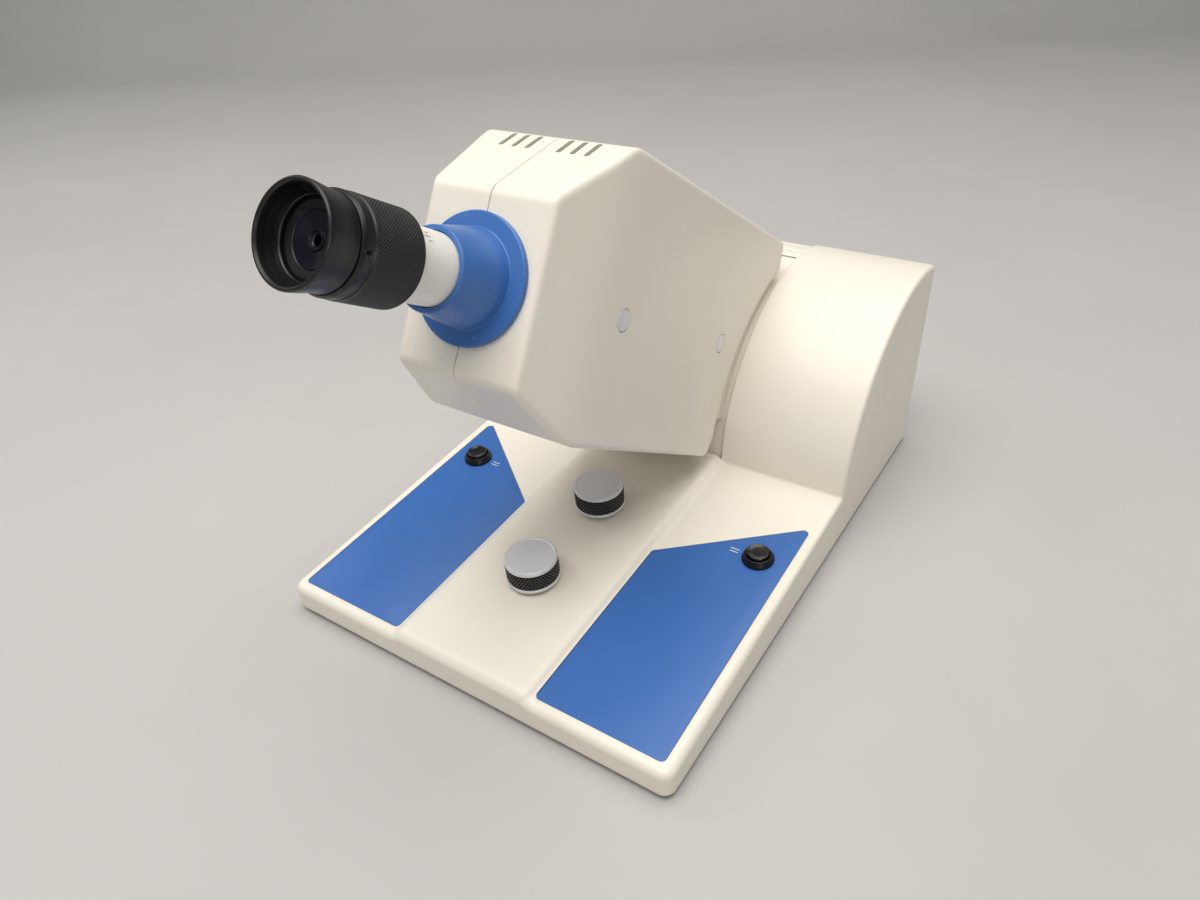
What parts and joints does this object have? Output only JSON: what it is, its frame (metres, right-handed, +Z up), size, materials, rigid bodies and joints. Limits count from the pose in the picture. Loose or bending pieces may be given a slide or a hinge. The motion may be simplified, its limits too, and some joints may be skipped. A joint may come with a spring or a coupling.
{
  "type": "anomaloscope",
  "caption": "Desktop colour-vision tester: wedge base with two mixing knobs and two answer buttons, and a tilting viewing head with a focusing eyepiece.",
  "frame": {"origin": "on the table, under the centre of the instrument's bounding box; the centre of the base footprint lies 19.5 mm behind it", "axes": "+X to the user's right, -Y towards the user, +Z up"},
  "size_m": [0.24, 0.3829, 0.2644],
  "materials": {
    "casing_cream": "fine textured satin paint, cream white",
    "steel_plate": "zinc plated sheet steel",
    "zinc_fixings": "bright zinc plated",
    "rubber_black": "matt",
    "panel_blue": "semi-gloss membrane inlay, blue",
    "collar_blue": "satin blue lacquer",
    "encoder_body": "stamped",
    "black_plastic": "satin moulded",
    "board_green": "solder mask",
    "brass_parts": "turned",
    "cast_alloy": "machined",
    "friction_lining": "pressed fibre",
    "satin_silver": "fine satin anodised",
    "knob_rubber": "knurled",
    "shaft_steel": "ground",
    "tube_white": "white lacquered",
    "black_anodised": "satin black anodised",
    "optical_glass": "polished, coated",
    "filter_glass": "polished"
  },
  "bodies": {
    "base": {"base_casing": "casing_cream", "base_plate": "steel_plate", "rubber_feet": "rubber_black", "base_screws": "zinc_fixings", "panel_left": "panel_blue", "panel_right": "panel_blue", "encoders": "encoder_body", "encoder_nuts": "zinc_fixings", "button_bezels": "black_plastic", "bezel_nuts": "zinc_fixings", "button_switches": "black_plastic", "main_board": "board_green", "board_standoffs": "brass_parts", "power_supply": "steel_plate", "rear_plate": "black_plastic", "power_inlet": "black_plastic", "data_socket": "steel_plate", "pivot_brackets": "steel_plate", "bracket_screws": "zinc_fixings", "pivot_shaft": "steel_plate", "pivot_nuts": "zinc_fixings"},
    "head": {"head_shell_left": "casing_cream", "head_shell_right": "casing_cream", "neck_cover": "casing_cream", "carrier_plates": "cast_alloy", "carrier_bushes": "brass_parts", "friction_washers": "friction_lining", "shell_screws": "zinc_fixings", "side_plugs": "satin_silver", "flange_collar": "collar_blue", "eyepiece_tube": "tube_white", "optical_bench": "cast_alloy", "bench_screws": "zinc_fixings", "lamp_test": "cast_alloy", "lamp_mixture": "cast_alloy", "colour_filters": "filter_glass", "beam_combiner": "optical_glass", "objective_holder": "cast_alloy", "objective_lens": "optical_glass", "split_prism": "optical_glass", "field_stop": "black_plastic", "lamp_board": "board_green"},
    "ocular": {"lens_carrier": "cast_alloy", "ocular_lens": "optical_glass"},
    "focus_ring": {"focus_barrel": "black_anodised", "clamp_ring": "black_anodised", "set_screw": "black_anodised", "eyecup": "black_anodised", "pupil_stop": "black_anodised"},
    "front_knob": {"front_knob_core": "satin_silver", "front_knob_grip": "knob_rubber", "front_knob_cap": "satin_silver", "front_knob_shaft": "shaft_steel"},
    "rear_knob": {"rear_knob_core": "satin_silver", "rear_knob_grip": "knob_rubber", "rear_knob_cap": "satin_silver", "rear_knob_shaft": "shaft_steel"},
    "left_button": {"left_button_cap": "black_plastic"},
    "right_button": {"right_button_cap": "black_plastic"},
    "power_switch": {"power_rocker": "black_plastic"}
  },
  "joints": [
    {"name": "head_tilt", "type": "hinge", "parent": "base", "child": "head", "pos_m": [0, 0.1575, 0.0253], "axis": [-1, 0, 0], "range_deg": [-4, 10]},
    {"name": "focus_travel", "type": "slide", "parent": "head", "child": "ocular", "axis": [0, -0.8704, 0.4924], "range_m": [-0.003, 0.003]},
    {"name": "focus_turn", "type": "hinge", "parent": "ocular", "child": "focus_ring", "pos_m": [0, -0.15423, 0.23242], "axis": [0, -0.8704, 0.4924], "range_deg": [-150, 150]},
    {"name": "front_knob_turn", "type": "hinge", "parent": "base", "child": "front_knob", "pos_m": [0, -0.08479, 0.033], "axis": [0, -0.0785, 0.9969], "continuous": true},
    {"name": "rear_knob_turn", "type": "hinge", "parent": "base", "child": "rear_knob", "pos_m": [0, -0.01909, 0.03817], "axis": [0, -0.0785, 0.9969], "continuous": true},
    {"name": "left_button_press", "type": "slide", "parent": "base", "child": "left_button", "axis": [0, 0.0785, -0.9969], "range_m": [0, 0.0018], "stiffness_N_per_m": 600, "springref_m": -0.001},
    {"name": "right_button_press", "type": "slide", "parent": "base", "child": "right_button", "axis": [0, 0.0785, -0.9969], "range_m": [0, 0.0018], "stiffness_N_per_m": 600, "springref_m": -0.001},
    {"name": "power_switch_rock", "type": "hinge", "parent": "base", "child": "power_switch", "pos_m": [-0.006, 0.1843, 0.033], "axis": [-1, 0, 0], "range_deg": [0, 16]}
  ],
  "couplings": [
    {"joint": "focus_travel", "follows": "focus_turn", "m_per_rad": 0.001145}
  ]
}
